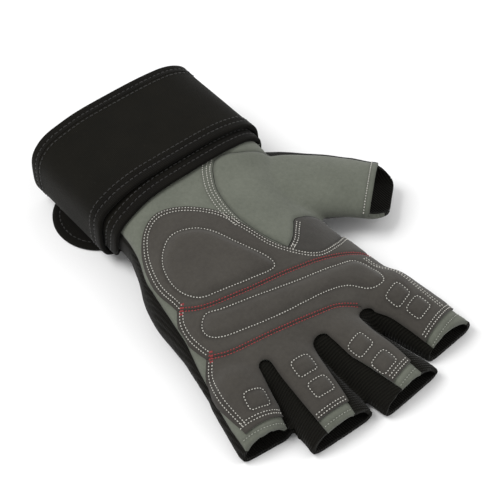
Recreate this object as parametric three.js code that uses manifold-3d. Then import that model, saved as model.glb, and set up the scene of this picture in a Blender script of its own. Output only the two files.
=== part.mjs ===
// A left-hand half-finger weightlifting glove with a long wrist wrap, lying palm up on its back.
// Millimetres. +X points to the thumb side, -Y to the finger ends, +Z up through the palm.
// The origin is on the surface that the back of the hand rests on, under the middle of the palm.
import * as THREE from "three";
import { mergeVertices } from "three/addons/utils/BufferGeometryUtils.js";
import Module from "manifold-3d";

const wasm = await Module();
wasm.setup();

// Hand: overall sizes of the palm, its walls and its openings.
const palmWidth = 100; // across the knuckles
const palmLength = 97; // from the edge of the wrap to the webs of the fingers
const palmHeight = 34; // crown of the palm above the surface, at the wrist
const wristY = 45; // where the palm comes out of the wrap
const shellWall = 1.8; // leather or padded stretch fabric
const seamGap = 0.3; // between pieces that are sewn edge to edge
const layerGap = 0.3; // between a patch and the leather under it
const patchWall = 1.2; // suede of the patches
const padRise = 1.6; // how far a foam pad lifts its patch
const pocketRise = 0.9; // the same for the small finger pads
const hemWidth = 5.5; // bare leather past the patches at each finger end
const palmDip = 3; // how far the palm's section runs past its floor before it is laid flat
const digitDip = 1.5;
const digitSquare = 2; // exponent of the sections of fingers and thumb, 2 for an ellipse

// Wrap: a long strap wound almost twice round the wrist, with a round hook tab at its end.
const wrapHeight = 55; // width of the strap, along the arm
const wrapWall = 2.4;
const wrapTurns = 2; // windings that lie on each other
const wrapStart = 204; // degrees round the wrist from the thumb side, where the strap is sewn on
const wrapSweep = 660; // degrees from the start to the end of the strap
const wrapRamp = 26; // degrees in which a turn climbs over the start of the strap
const wrapStep = 12; // degrees between sections of the strap
const bindingWidth = 6; // tape along the strap's edges
const bindingRound = 0.7; // bevel of the tape's fold
const tabWidth = 46;
const tabReach = 50; // how far the tab's round end stands out from the hand's axis
const tabWall = 2.2;
const cuffWall = 2;
const cuffLength = 40;

const sheath = wrapTurns * (wrapWall + layerGap); // all turns of the strap, in thickness
const bodyEnd = wristY + 12; // where palm and back are sewn to the cuff
const openPast = 30; // how far the hollow is cut past every opening
const outOfReach = 150; // past every side of the glove, for the cutting shapes

// Smoothness of the solids: points round a section and along a curved outline.
const palmSteps = 30;
const fingerSteps = 18;
const thumbSteps = 22;
const outlineSteps = 26;
const seamSteps = 12;
const shortSteps = 8;

// Sections of the palm from the wrist to the webs. along is a share of palmLength from wristY,
// left and right are shares of palmWidth, crown and wide (the height of the widest line) of
// palmHeight, square is the section's exponent (2 for an ellipse, more for a fuller one), and lifted
// is the share of the strap's thickness that the section is raised by.
const palmSections = [
  { along: -0.14, left: -0.4, right: 0.435, crown: 1.09, wide: 0.6, square: 3.2, lifted: 1 },
  { along: 0.05, left: -0.4, right: 0.435, crown: 1.09, wide: 0.6, square: 3.2, lifted: 1 },
  { along: 0.17, left: -0.428, right: 0.43, crown: 1.04, wide: 0.46, square: 2.8, lifted: 0.3 },
  { along: 0.31, left: -0.485, right: 0.425, crown: 0.99, wide: 0.36, square: 2.5, lifted: 0 },
  { along: 0.47, left: -0.523, right: 0.43, crown: 0.92, wide: 0.3, square: 2.3, lifted: 0 },
  { along: 0.67, left: -0.537, right: 0.453, crown: 0.81, wide: 0.25, square: 2.3, lifted: 0 },
  { along: 0.87, left: -0.573, right: 0.492, crown: 0.675, wide: 0.2, square: 2.2, lifted: 0 },
  { along: 0.98, left: -0.58, right: 0.508, crown: 0.55, wide: 0.16, square: 2.1, lifted: 0 },
  { along: 1.1, left: -0.57, right: 0.5, crown: 0.2, wide: 0.1, square: 2, lifted: 0 },
];

// Fingers: root in shares of palmWidth and palmLength, splay in degrees towards the thumb. skew is
// how far an opening stands forward on its thumb side and back on its other side.
const fingers = {
  little: { across: -0.455, along: 0.94, splay: -12.5, length: 25.5, rootWidth: 26, endWidth: 25, skew: -1 },
  ring: { across: -0.21, along: 0.97, splay: -3, length: 37.5, rootWidth: 27, endWidth: 34, skew: 0 },
  middle: { across: 0.05, along: 1.0, splay: 12, length: 39.5, rootWidth: 27, endWidth: 34, skew: 2.5 },
  index: { across: 0.37, along: 0.98, splay: 13.5, length: 33, rootWidth: 30, endWidth: 28, skew: 2.5 },
};
const fingerRake = 1.5; // the back of an opening stands this far past its palm side
// How a finger's tube falls from the palm to its opening. along is a share of the finger's length,
// width a share of its own width there, crown a share of palmHeight, and wide the share of the crown
// at which it is widest.
const fingerSections = [
  { along: -0.4, width: 0.72, crown: 0.52, wide: 0.3 },
  { along: 0, width: 1, crown: 0.62, wide: 0.25 },
  { along: 0.4, width: 1, crown: 0.5, wide: 0.24 },
  { along: 0.75, width: 1, crown: 0.41, wide: 0.24 },
  { along: 1, width: 1, crown: 0.37, wide: 0.24 },
];

// Thumb: root and splay as for the fingers. width is a share of the thumb's rootWidth, as is bow, how
// far its middle line swings out from the fingers. crown, wide and floor are shares of palmHeight.
const thumb = { across: 0.28, along: 0.19, splay: 56.8, length: 54.2, rootWidth: 47, skew: 5 };
const thumbRake = 9;
const thumbSections = [
  { along: -0.25, width: 0.85, bow: 0.02, crown: 0.78, wide: 0.5, floor: 0.3 },
  { along: 0, width: 1.0, bow: 0.04, crown: 0.88, wide: 0.53, floor: 0.26 },
  { along: 0.5, width: 0.81, bow: 0.08, crown: 0.82, wide: 0.5, floor: 0.27 },
  { along: 0.75, width: 0.73, bow: 0.06, crown: 0.77, wide: 0.48, floor: 0.25 },
  { along: 1, width: 0.69, bow: -0.01, crown: 0.72, wide: 0.47, floor: 0.24 },
];

// Heights of the seams between palm and back, as shares of palmHeight: on the little finger's side,
// on the index finger's side, and on the thumb, whose leather is drawn down further beside the index.
const littleSeam = [
  { along: -0.2, height: 0.82 },
  { along: 0.04, height: 0.79 },
  { along: 0.24, height: 0.66 },
  { along: 0.36, height: 0.635 },
  { along: 0.46, height: 0.6 },
  { along: 0.55, height: 0.55 },
  { along: 0.65, height: 0.48 },
  { along: 0.76, height: 0.39 },
  { along: 0.93, height: 0.3 },
  { along: 1.16, height: 0.24 },
  { along: 1.5, height: 0.19 },
];
const indexSeam = [
  { along: -0.2, height: 0.82 },
  { along: 0.04, height: 0.79 },
  { along: 0.23, height: 0.62 },
  { along: 0.34, height: 0.54 },
  { along: 0.5, height: 0.47 },
  { along: 0.7, height: 0.41 },
  { along: 0.93, height: 0.32 },
  { along: 1.16, height: 0.24 },
  { along: 1.5, height: 0.19 },
];
const thumbSeam = [
  { along: -0.2, height: 0.6 },
  { along: 0.1, height: 0.57 },
  { along: 0.37, height: 0.47 },
  { along: 0.52, height: 0.36 },
  { along: 0.65, height: 0.27 },
  { along: 0.9, height: 0.24 },
];
const fourchetteFloor = 4; // the fourchettes reach down to here between the fingers

// Outlines seen from above. across is a share of palmWidth, along a share of palmLength.
// The first seam parts the heel patch from the bar patch, the second the bar from the fingers'.
const firstSeam = [
  { across: -0.45, along: 0.515 },
  { across: -0.37, along: 0.588 },
  { across: -0.19, along: 0.649 },
  { across: 0.03, along: 0.686 },
  { across: 0.23, along: 0.722 },
  { across: 0.39, along: 0.763 },
  { across: 0.56, along: 0.83 },
];
const secondSeam = [
  { across: -0.49, along: 0.773 },
  { across: -0.41, along: 0.825 },
  { across: -0.2, along: 0.876 },
  { across: 0.02, along: 0.918 },
  { across: 0.11, along: 0.938 },
  { across: 0.2, along: 0.985 },
];
const heelEdge = [
  { across: -0.45, along: 0.515 },
  { across: -0.455, along: 0.361 },
  { across: -0.405, along: 0.206 },
  { across: -0.34, along: 0.124 },
  { across: -0.26, along: 0.093 },
  { across: -0.17, along: 0.113 },
  { across: -0.07, along: 0.186 },
  { across: 0.0, along: 0.278 },
  { across: 0.04, along: 0.402 },
  { across: 0.08, along: 0.526 },
  { across: 0.14, along: 0.613 },
  { across: 0.22, along: 0.675 },
  { across: 0.34, along: 0.665 },
  { across: 0.43, along: 0.63 },
  { across: 0.47, along: 0.645 },
  { across: 0.56, along: 0.7 },
];
const barEdge = [
  { across: -0.45, along: 0.515 },
  { across: -0.485, along: 0.567 },
  { across: -0.5, along: 0.639 },
  { across: -0.498, along: 0.711 },
  { across: -0.49, along: 0.773 },
];
const fingerEdge = [
  { across: -0.49, along: 0.773 },
  { across: -0.54, along: 0.835 },
  { across: -0.575, along: 0.938 },
  { across: -0.58, along: 1.05 },
  { across: -0.575, along: 1.144 },
];
const heelPad = [
  { across: -0.38, along: 0.33 },
  { across: -0.33, along: 0.26 },
  { across: -0.26, along: 0.227 },
  { across: -0.17, along: 0.258 },
  { across: -0.11, along: 0.32 },
  { across: -0.06, along: 0.433 },
  { across: 0.01, along: 0.6 },
  { across: 0.0, along: 0.635 },
  { across: -0.12, along: 0.623 },
  { across: -0.26, along: 0.586 },
  { across: -0.35, along: 0.55 },
  { across: -0.395, along: 0.46 },
];
const barPad = [
  { across: -0.425, along: 0.66 },
  { across: -0.38, along: 0.625 },
  { across: -0.31, along: 0.655 },
  { across: -0.16, along: 0.7 },
  { across: 0.05, along: 0.75 },
  { across: 0.24, along: 0.778 },
  { across: 0.34, along: 0.8 },
  { across: 0.38, along: 0.88 },
  { across: 0.36, along: 0.965 },
  { across: 0.31, along: 0.965 },
  { across: 0.21, along: 0.885 },
  { across: 0.12, along: 0.862 },
  { across: -0.1, along: 0.835 },
  { across: -0.25, along: 0.804 },
  { across: -0.4, along: 0.745 },
  { across: -0.43, along: 0.7 },
];
// The thumb panel runs from the wrist to its tip between the patches and on past the thumb.
const thumbEdge = [
  { across: 0.2, along: 0.0 },
  { across: 0.155, along: 0.012 },
  { across: 0.119, along: 0.046 },
  { across: 0.09, along: 0.09 },
  { across: 0.065, along: 0.14 },
  { across: 0.05, along: 0.2 },
  { across: 0.042, along: 0.28 },
  { across: 0.045, along: 0.36 },
  { across: 0.08, along: 0.485 },
  { across: 0.125, along: 0.582 },
];
const gussetEdge = [
  { across: 0.125, along: 0.582 },
  { across: 0.175, along: 0.554 },
  { across: 0.218, along: 0.511 },
  { across: 0.26, along: 0.469 },
  { across: 0.31, along: 0.468 },
  { across: 0.36, along: 0.472 },
  { across: 0.4, along: 0.484 },
  { across: 0.46, along: 0.52 },
];
const gussetFoot = [
  { across: 0.56, along: 0.58 },
  { across: 0.56, along: 0.64 },
  { across: 0.44, along: 0.63 },
  { across: 0.34, along: 0.68 },
  { across: 0.22, along: 0.69 },
  { across: 0.14, along: 0.63 },
];
// Beyond the hand, where the thumb panel's cutting shape may be plain.
const thumbFar = [
  { across: 0.52, along: 0.62 },
  { across: 0.62, along: 0.75 },
  { across: 1.1, along: 0.75 },
  { across: 1.0, along: 0.6 },
  { across: 0.8, along: 0.37 },
  { across: 0.62, along: 0.185 },
  { across: 0.45, along: 0.09 },
  { across: 0.353, along: 0.055 },
  { across: 0.283, along: 0.032 },
  { across: 0.24, along: 0.01 },
];

// The black underside of the thumb starts at the side of the palm.
const thumbRoot = [
  { across: 0.435, along: -0.3 },
  { across: 0.435, along: 0.55 },
  { across: 0.6, along: 0.8 },
  { across: 1.1, along: 0.8 },
  { across: 1.1, along: -0.3 },
];

// The gaps between the palm-side strips, by their edges, and the height of their round tips.
const slotTip = 3;
const slots = {
  ring_little: [
    { along: 0.97, left: -0.355, right: -0.295 },
    { along: 1.082, left: -0.375, right: -0.3 },
    { along: 1.206, left: -0.39, right: -0.305 },
    { along: 1.361, left: -0.42, right: -0.31 },
    { along: 1.6, left: -0.46, right: -0.32 },
  ],
  middle_ring: [
    { along: 1.02, left: -0.098, right: -0.015 },
    { along: 1.144, left: -0.12, right: 0 },
    { along: 1.247, left: -0.136, right: 0.03 },
    { along: 1.371, left: -0.16, right: 0.065 },
    { along: 1.6, left: -0.2, right: 0.12 },
  ],
  index_middle: [
    { along: 1.03, left: 0.16, right: 0.25 },
    { along: 1.103, left: 0.163, right: 0.285 },
    { along: 1.216, left: 0.183, right: 0.315 },
    { along: 1.32, left: 0.192, right: 0.335 },
    { along: 1.6, left: 0.21, right: 0.37 },
  ],
};

// Small foam pads, by the finger they lie on and their middle, in mm from the finger's root.
const padLength = 7.5;
const padWidth = 9.5;
const pocketPads = [
  { finger: "little", forward: 11.5, sideways: 3 },
  { finger: "ring", forward: 10, sideways: 1.5 },
  { finger: "ring", forward: 21, sideways: 2 },
  { finger: "middle", forward: 14, sideways: -2 },
  { finger: "middle", forward: 26, sideways: -1.5 },
  { finger: "index", forward: 7, sideways: -2.5 },
  { finger: "index", forward: 17, sideways: -1 },
];

const handX = (share) => share * palmWidth;
const handY = (share) => wristY - share * palmLength;
const radians = THREE.MathUtils.degToRad;

// A row of a table at a share along it, on a smooth curve through the rows. Level stretches stay level.
function rowAt(table, along) {
  const last = table.length - 1;
  const next = table.findIndex((row) => row.along > along);
  const i = next < 0 ? last - 1 : Math.max(0, next - 1);
  const [a, b, c, d] = [-1, 0, 1, 2].map((k) => table[THREE.MathUtils.clamp(i + k, 0, last)]);
  const span = c.along - b.along;
  const t = THREE.MathUtils.clamp((along - b.along) / span, 0, 1);
  const row = {};
  for (const key of Object.keys(b)) {
    const level = b[key] === c[key] || a[key] === b[key];
    const slopeB = level ? 0 : ((c[key] - a[key]) / (c.along - a.along)) * span;
    const slopeC = c[key] === d[key] ? 0 : ((d[key] - b[key]) / (d.along - b.along)) * span;
    row[key] = (2 * t ** 3 - 3 * t ** 2 + 1) * b[key] + (t ** 3 - 2 * t ** 2 + t) * slopeB
      + (3 * t ** 2 - 2 * t ** 3) * c[key] + (t ** 3 - t ** 2) * slopeC;
  }
  return row;
}

// One point of a flat-bottomed oval, grown outwards by offset.
function ovalPoint(oval, angle, offset) {
  const round = (value) => Math.sign(value) * Math.abs(value) ** (2 / oval.square);
  const [c, s] = [round(Math.cos(angle)), round(Math.sin(angle))];
  const rise = s > 0 ? oval.crown - oval.wide : oval.wide - oval.floor + oval.dip;
  return {
    across: oval.centre + (oval.half + offset) * c,
    up: Math.max(oval.wide + (rise + offset) * s, oval.floor - offset),
  };
}

// A ring of points round an oval. place puts one of them, given across and up, into the glove.
function ovalRing(oval, steps, offset, place) {
  return Array.from({ length: steps }, (_, i) => {
    const point = ovalPoint(oval, (2 * Math.PI * i) / steps, offset);
    return place(point.across, point.up);
  });
}

// A closed solid from points and the corners of its faces, turned to face outwards.
function solidOf(points, corners) {
  const [a, b, c] = [new THREE.Vector3(), new THREE.Vector3(), new THREE.Vector3()];
  let volume = 0;
  for (let i = 0; i < corners.length; i += 3) {
    a.copy(points[corners[i]]);
    b.copy(points[corners[i + 1]]);
    c.copy(points[corners[i + 2]]);
    volume += a.dot(b.cross(c));
  }
  const outward = volume < 0 ? [...corners].reverse() : corners;
  const mesh = new wasm.Mesh({
    numProp: 3,
    vertProperties: new Float32Array(points.flatMap((point) => point.toArray())),
    triVerts: new Uint32Array(outward),
  });
  return new wasm.Manifold(mesh);
}

// The same from a three.js geometry whose faces don't share their corners.
function solidFromGeometry(geometry) {
  geometry.deleteAttribute("uv");
  geometry.deleteAttribute("normal");
  const merged = mergeVertices(geometry, 1e-5);
  const position = merged.getAttribute("position");
  const points = Array.from({ length: position.count }, (_, i) =>
    new THREE.Vector3().fromBufferAttribute(position, i));
  return solidOf(points, Array.from(merged.index.array));
}

// A closed solid through rings of equal length, with a fan over each end.
function loft(rings) {
  const steps = rings[0].length;
  const points = rings.flat();
  const corners = [];
  for (let start = 0; start < (rings.length - 1) * steps; start += steps) {
    for (let i = 0; i < steps; i += 1) {
      const [near, next] = [start + i, start + ((i + 1) % steps)];
      corners.push(near, next, next + steps, near, next + steps, near + steps);
    }
  }
  const lastRing = (rings.length - 1) * steps;
  for (const start of [0, lastRing]) {
    const hub = points.length;
    const middle = new THREE.Vector3();
    points.slice(start, start + steps).forEach((point) => middle.add(point));
    points.push(middle.divideScalar(steps));
    for (let i = 0; i < steps; i += 1) {
      const [near, next] = [start + i, start + ((i + 1) % steps)];
      corners.push(...(start === 0 ? [next, near, hub] : [near, next, hub]));
    }
  }
  return solidOf(points, corners);
}

// The palm's oval at a share along it.
function palmOval(along) {
  const row = rowAt(palmSections, along);
  return {
    centre: handX((row.left + row.right) / 2),
    half: handX((row.right - row.left) / 2),
    crown: row.crown * palmHeight,
    wide: row.wide * palmHeight,
    floor: row.lifted * sheath,
    square: row.square,
    dip: palmDip,
  };
}

function palmRing(along, offset) {
  return ovalRing(palmOval(along), palmSteps, offset, (x, z) => new THREE.Vector3(x, handY(along), z));
}

// A point of a finger's frame, at a distance forward from its root and sideways to the thumb.
function fingerPoint(digit, forward, sideways, up = 0) {
  const splay = radians(digit.splay);
  return new THREE.Vector3(
    handX(digit.across) + forward * Math.sin(splay) + sideways * Math.cos(splay),
    handY(digit.along) - forward * Math.cos(splay) + sideways * Math.sin(splay),
    up,
  );
}

function fingerOval(digit, along) {
  const row = rowAt(fingerSections, along);
  const crown = row.crown * palmHeight;
  const width = row.width * THREE.MathUtils.lerp(digit.rootWidth, digit.endWidth, Math.max(0, along));
  return {
    centre: 0,
    half: width / 2,
    crown,
    wide: row.wide * crown,
    floor: 0,
    square: digitSquare,
    dip: digitDip,
  };
}

function thumbOval(along) {
  const row = rowAt(thumbSections, along);
  return {
    centre: row.bow * thumb.rootWidth,
    half: (row.width * thumb.rootWidth) / 2,
    crown: row.crown * palmHeight,
    wide: row.wide * palmHeight,
    floor: row.floor * palmHeight,
    square: digitSquare,
    dip: digitDip,
  };
}

// A finger's or the thumb's tube. Under its widest line the open end runs on further to its back.
function digitTube(digit, ovalAt, stations, rake, steps, offset) {
  return loft(stations.map((along) => {
    const oval = ovalAt(digit, along);
    return ovalRing(oval, steps, offset, (sideways, up) => {
      const under = Math.max(0, (oval.wide - up) / (oval.wide - oval.floor));
      const past = rake * under + (digit.skew * (sideways - oval.centre)) / oval.half;
      return fingerPoint(digit, along * digit.length + Math.max(0, along) * past, sideways, up);
    });
  }));
}

// The whole hand as one solid, grown by offset. past is how far it runs on through its openings.
function hand(offset, past = 0) {
  const endTrim = Math.min(0, offset) / palmLength;
  const wristEnd = -(bodyEnd - wristY + past) / palmLength;
  const palmStations = [wristEnd, 0.05, 0.11, 0.17, 0.24, 0.31, 0.47, 0.67, 0.87, 0.98, 1.04, 1.1];
  const trimmed = palmStations.map((along) => (along > 1 ? along + endTrim : along));
  const parts = [loft(trimmed.map((along) => palmRing(along, offset)))];
  for (const digit of Object.values(fingers)) {
    const stations = [-0.4, 0, 0.4, 0.75, 1 + past / digit.length];
    parts.push(digitTube(digit, fingerOval, stations, fingerRake, fingerSteps, offset));
  }
  const thumbStations = [-0.25, 0, 0.25, 0.5, 0.75, 1 + past / thumb.length];
  parts.push(digitTube(thumb, (_, along) => thumbOval(along), thumbStations, thumbRake, thumbSteps, offset));
  return wasm.Manifold.union(parts);
}

// An outline in mm from a table of shares, rounded through its rows.
function curve(table, steps = outlineSteps) {
  const rows = table.map((row) => new THREE.Vector3(handX(row.across), handY(row.along), 0));
  return new THREE.CatmullRomCurve3(rows, false, "centripetal").getPoints(steps);
}

function closedCurve(table, steps = outlineSteps) {
  const rows = table.map((row) => new THREE.Vector3(handX(row.across), handY(row.along), 0));
  return new THREE.CatmullRomCurve3(rows, true, "centripetal").getPoints(steps).slice(0, -1);
}

// An outline moved outwards by a small distance, or inwards by a negative one.
function grown(outline, distance) {
  const count = outline.length;
  const turning = Math.sign(THREE.ShapeUtils.area(outline));
  return outline.map((point, i) => {
    const before = outline[(i + count - 1) % count];
    const after = outline[(i + 1) % count];
    const along = new THREE.Vector3().subVectors(after, before).normalize();
    const outward = new THREE.Vector3(along.y, -along.x, 0).multiplyScalar(turning * distance);
    return outward.add(point);
  });
}

// An upright block with the outline given, from one height to another.
function prism(outline, from = -outOfReach, to = outOfReach) {
  const shape = new THREE.Shape(outline.map((point) => new THREE.Vector2(point.x, point.y)));
  const geometry = new THREE.ExtrudeGeometry(shape, { depth: to - from, bevelEnabled: false });
  return solidFromGeometry(geometry.translate(0, 0, from));
}

// All that lies above a seam whose height changes along the hand, moved up by lift, in a slice across
// the hand.
function above(seam, lift, from = -outOfReach, to = outOfReach) {
  const line = seam.map((row) => new THREE.Vector2(handY(row.along), row.height * palmHeight + lift));
  const shape = new THREE.Shape([
    ...line,
    new THREE.Vector2(-outOfReach, line[line.length - 1].y),
    new THREE.Vector2(-outOfReach, outOfReach),
    new THREE.Vector2(outOfReach, outOfReach),
    new THREE.Vector2(outOfReach, line[0].y),
  ]);
  const geometry = new THREE.ExtrudeGeometry(shape, { depth: to - from, bevelEnabled: false });
  const toHand = new THREE.Matrix4().makeBasis(
    new THREE.Vector3(0, 1, 0),
    new THREE.Vector3(0, 0, 1),
    new THREE.Vector3(1, 0, 0),
  );
  return solidFromGeometry(geometry.translate(0, 0, from).applyMatrix4(toHand));
}

// The same over the seams of both sides, which meet in the hollow of the hand.
const aboveSides = (lift) => above(littleSeam, lift, -outOfReach, 0).add(above(indexSeam, lift, 0));

// The outline of a gap between two strips, round at its tip.
function slotOutline(rows) {
  const left = rows.map((row) => new THREE.Vector3(handX(row.left), handY(row.along), 0));
  const right = rows.map((row) => new THREE.Vector3(handX(row.right), handY(row.along), 0));
  const tipSteps = 6;
  const middle = (left[0].x + right[0].x) / 2;
  const half = (right[0].x - left[0].x) / 2;
  const tip = Array.from({ length: tipSteps - 1 }, (_, i) => {
    const angle = (Math.PI * (i + 1)) / tipSteps;
    return new THREE.Vector3(middle + half * Math.cos(angle), left[0].y + slotTip * Math.sin(angle), 0);
  });
  return [...left.reverse(), ...tip.reverse(), ...right];
}

function padOutline(pad) {
  const digit = fingers[pad.finger];
  const corner = (forward, sideways) => fingerPoint(digit, pad.forward + forward, pad.sideways + sideways);
  const [l, w] = [padLength / 2, padWidth / 2];
  return [corner(-l, -w), corner(-l, w), corner(l, w), corner(l, -w)];
}

// The cutting shapes, each grown by half a seam or shrunk by it.
const half = seamGap / 2;
const slotBlocks = Object.fromEntries(Object.entries(slots).map(([name, rows]) => [name, (growth) =>
  prism(grown(slotOutline(rows), growth), fourchetteFloor - growth)]));
const thumbOutline = [
  ...curve(thumbEdge),
  ...curve(gussetEdge, shortSteps).slice(1),
  ...curve(thumbFar, seamSteps),
];
const gussetOutline = [...curve(gussetEdge, shortSteps), ...curve(gussetFoot, seamSteps)];
const thumbBlock = (growth) => prism(grown(thumbOutline, growth)).intersect(above(thumbSeam, -growth));
const gussetBlock = (growth) => prism(grown(gussetOutline, growth)).intersect(aboveSides(-growth));

const outer = hand(0);
const shell = outer.subtract(hand(-shellWall, openPast));

const pieces = {};
let rest = shell;
for (const [name, block] of Object.entries(slotBlocks)) {
  pieces[`fourchette_${name}`] = rest.intersect(block(-half));
  rest = rest.subtract(block(half));
}
pieces.thumb_palm = rest.intersect(thumbBlock(-half));
rest = rest.subtract(thumbBlock(half));
pieces.thumb_web_gusset = rest.intersect(gussetBlock(-half));
rest = rest.subtract(gussetBlock(half));
const thumbRootOutline = thumbRoot.map((row) =>
  new THREE.Vector3(handX(row.across), handY(row.along), 0));
pieces.thumb_back = rest.intersect(prism(grown(thumbRootOutline, -half)));
rest = rest.subtract(prism(grown(thumbRootOutline, half)));
pieces.palm_base = rest.intersect(aboveSides(half));
pieces.back_panel = rest.subtract(aboveSides(-half));

// Patches: a draped layer over the palm, cut to its outline, kept above the side seam and out of
// the gaps between the strips, and lifted inside the outline of each foam pad.
const patchFloor = hand(layerGap);
const patchSkin = hand(layerGap + patchWall);
const keptFromSeam = 1;
const overSeam = aboveSides(keptFromSeam);

const padSkin = hand(layerGap + patchWall + padRise);
const pocketSkin = hand(layerGap + patchWall + pocketRise);

function patch(outline, pads, pockets) {
  const skins = [
    patchSkin,
    ...pads.map((pad) => padSkin.intersect(prism(pad))),
    ...pockets.map((pocket) => pocketSkin.intersect(prism(pocket))),
  ];
  let layer = wasm.Manifold.union(skins).subtract(patchFloor)
    .intersect(prism(grown(outline, -half)))
    .intersect(overSeam);
  for (const block of Object.values(slotBlocks)) {
    layer = layer.subtract(block(half));
  }
  return layer;
}

const pocketOutlines = (names) => pocketPads.filter((pad) => names.includes(pad.finger)).map(padOutline);
// The two corners of a patch's end across a finger, short of its opening by the hem.
function stripEnd(name, toThumb, toLittle) {
  const digit = fingers[name];
  const forward = digit.length - hemWidth;
  return [fingerPoint(digit, forward, toThumb), fingerPoint(digit, forward, -toLittle)];
}
const stripSide = 14; // past the edge of a strip, which the gaps cut to its width
const indexSide = 20;
const littleSide = 9;
const littleEnd = stripEnd("little", stripSide, littleSide);

const heelOutline = [...curve(heelEdge).slice(1), ...curve(firstSeam, seamSteps).reverse()];
const barOutline = [
  ...curve(firstSeam, seamSteps),
  ...stripEnd("index", indexSide, stripSide),
  ...curve(secondSeam, seamSteps).reverse(),
  ...curve(barEdge, shortSteps).reverse().slice(1, -1),
];
const fingersOutline = [
  ...curve(secondSeam, seamSteps),
  ...stripEnd("middle", stripSide, stripSide),
  ...stripEnd("ring", stripSide, stripSide),
  littleEnd[0],
  ...curve(fingerEdge, shortSteps).reverse().slice(0, -1),
];
pieces.overlay_heel = patch(heelOutline, [closedCurve(heelPad)], []);
pieces.overlay_bar = patch(barOutline, [closedCurve(barPad)], pocketOutlines(["index"]));
pieces.overlay_fingers = patch(fingersOutline, [], pocketOutlines(["little", "ring", "middle"]));

// Cuff: the tube of fabric inside the wrap.
const cuffStations = [seamGap, cuffLength].map((past) => -(bodyEnd + past - wristY) / palmLength);
const cuffPast = 1 / palmLength;
const cuffTube = (stations, offset) => loft(stations.map((along) => palmRing(along, offset)));
pieces.cuff_band = cuffTube(cuffStations, 0)
  .subtract(cuffTube([cuffStations[0] + cuffPast, cuffStations[1] - cuffPast], -cuffWall));

// Wrap: sections of the strap are laid round the wrist's oval on a slowly rising spiral. The edge on
// the hand's side starts under the outer turn and moves up the arm as the strap goes round.
const wristOval = palmOval(palmSections[0].along);
const wrapEdges = [
  { along: 0, edge: 47 },
  { along: 0.07, edge: 43 },
  { along: 0.15, edge: 42 },
  { along: 0.3, edge: 44 },
  { along: 0.55, edge: 46 },
  { along: 0.85, edge: 50 },
  { along: 1, edge: 51.5 },
  { along: 2, edge: 51.5 },
];
const wrapStations = Math.round(wrapSweep / wrapStep);

function wrapPlace(turned) {
  const turn = Math.floor(turned / 360);
  const ramp = THREE.MathUtils.smoothstep(turned - turn * 360, 360 - wrapRamp, 360);
  return {
    angle: radians(wrapStart - turned),
    inside: layerGap + (wrapWall + layerGap) * (turn + ramp),
    edge: rowAt(wrapEdges, turned / 360).edge,
  };
}

// A ribbon of the strap between two distances from its hand-side edge, with its outer edges bevelled.
function ribbon(from, to, bevelFrom, bevelTo) {
  const rings = Array.from({ length: wrapStations + 1 }, (_, i) => {
    const place = wrapPlace((wrapSweep * i) / wrapStations);
    const at = (distance, depth) => {
      const point = ovalPoint(wristOval, place.angle, place.inside + depth);
      return new THREE.Vector3(point.across, place.edge + distance, point.up);
    };
    return [
      at(from + bevelFrom, 0),
      at(to - bevelTo, 0),
      at(to, bevelTo),
      at(to, wrapWall - bevelTo),
      at(to - bevelTo, wrapWall),
      at(from + bevelFrom, wrapWall),
      at(from, wrapWall - bevelFrom),
      at(from, bevelFrom),
    ].filter((point, k, ring) => point.distanceTo(ring[(k + 1) % ring.length]) > 0);
  });
  return loft(rings);
}

pieces.wrap_band = ribbon(bindingWidth + seamGap, wrapHeight - bindingWidth - seamGap, 0, 0);
pieces.wrap_binding_hand = ribbon(0, bindingWidth, bindingRound, 0);
pieces.wrap_binding_wrist = ribbon(wrapHeight - bindingWidth, wrapHeight, 0, bindingRound);

// Tab: lies flat under the wrap and shows its round end beside it.
const wrapEnd = wrapPlace(wrapSweep);
const tabStart = ovalPoint(wristOval, wrapEnd.angle, wrapEnd.inside + wrapWall).across - seamGap;
const tabY = wrapEnd.edge + wrapHeight / 2;
const tabShape = new THREE.Shape();
tabShape.moveTo(tabStart, tabY - tabWidth / 2);
tabShape.lineTo(tabStart, tabY + tabWidth / 2);
tabShape.lineTo(tabWidth / 2 - tabReach, tabY + tabWidth / 2);
tabShape.absarc(tabWidth / 2 - tabReach, tabY, tabWidth / 2, Math.PI / 2, 1.5 * Math.PI, false);
pieces.wrap_tab = solidFromGeometry(new THREE.ExtrudeGeometry(tabShape, {
  depth: tabWall,
  bevelEnabled: false,
  curveSegments: 16,
}));

// Materials, by what a piece is made of.
const suedeLight = { color: 0x737a6e, roughness: 0.95 };
const suedeDark = { color: 0x55514f, roughness: 0.95 };
const stretchFabric = { color: 0x1c1b18, roughness: 0.9 };
const neoprene = { color: 0x1a1917, roughness: 0.85 };
const tape = { color: 0x131210, roughness: 0.8 };
const looks = {
  palm_base: suedeLight,
  thumb_palm: suedeLight,
  thumb_web_gusset: suedeDark,
  overlay_heel: suedeDark,
  overlay_bar: suedeDark,
  overlay_fingers: suedeDark,
  back_panel: stretchFabric,
  thumb_back: stretchFabric,
  fourchette_ring_little: stretchFabric,
  fourchette_middle_ring: stretchFabric,
  fourchette_index_middle: stretchFabric,
  cuff_band: neoprene,
  wrap_band: neoprene,
  wrap_binding_hand: tape,
  wrap_binding_wrist: tape,
  wrap_tab: tape,
};

const group = new THREE.Group();
group.name = "weightlifting_glove_left";
for (const [name, piece] of Object.entries(pieces)) {
  // Slivers that a cut leaves beside a piece are dropped.
  const [body] = piece.decompose().sort((a, b) => b.volume() - a.volume());
  const mesh = body.getMesh();
  const geometry = new THREE.BufferGeometry();
  geometry.setAttribute("position", new THREE.BufferAttribute(Float32Array.from(mesh.vertProperties), 3));
  geometry.setIndex(new THREE.BufferAttribute(Uint32Array.from(mesh.triVerts), 1));
  geometry.computeVertexNormals();
  const node = new THREE.Mesh(geometry, new THREE.MeshStandardMaterial(looks[name]));
  node.name = name;
  group.add(node);
}

export default group;
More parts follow.
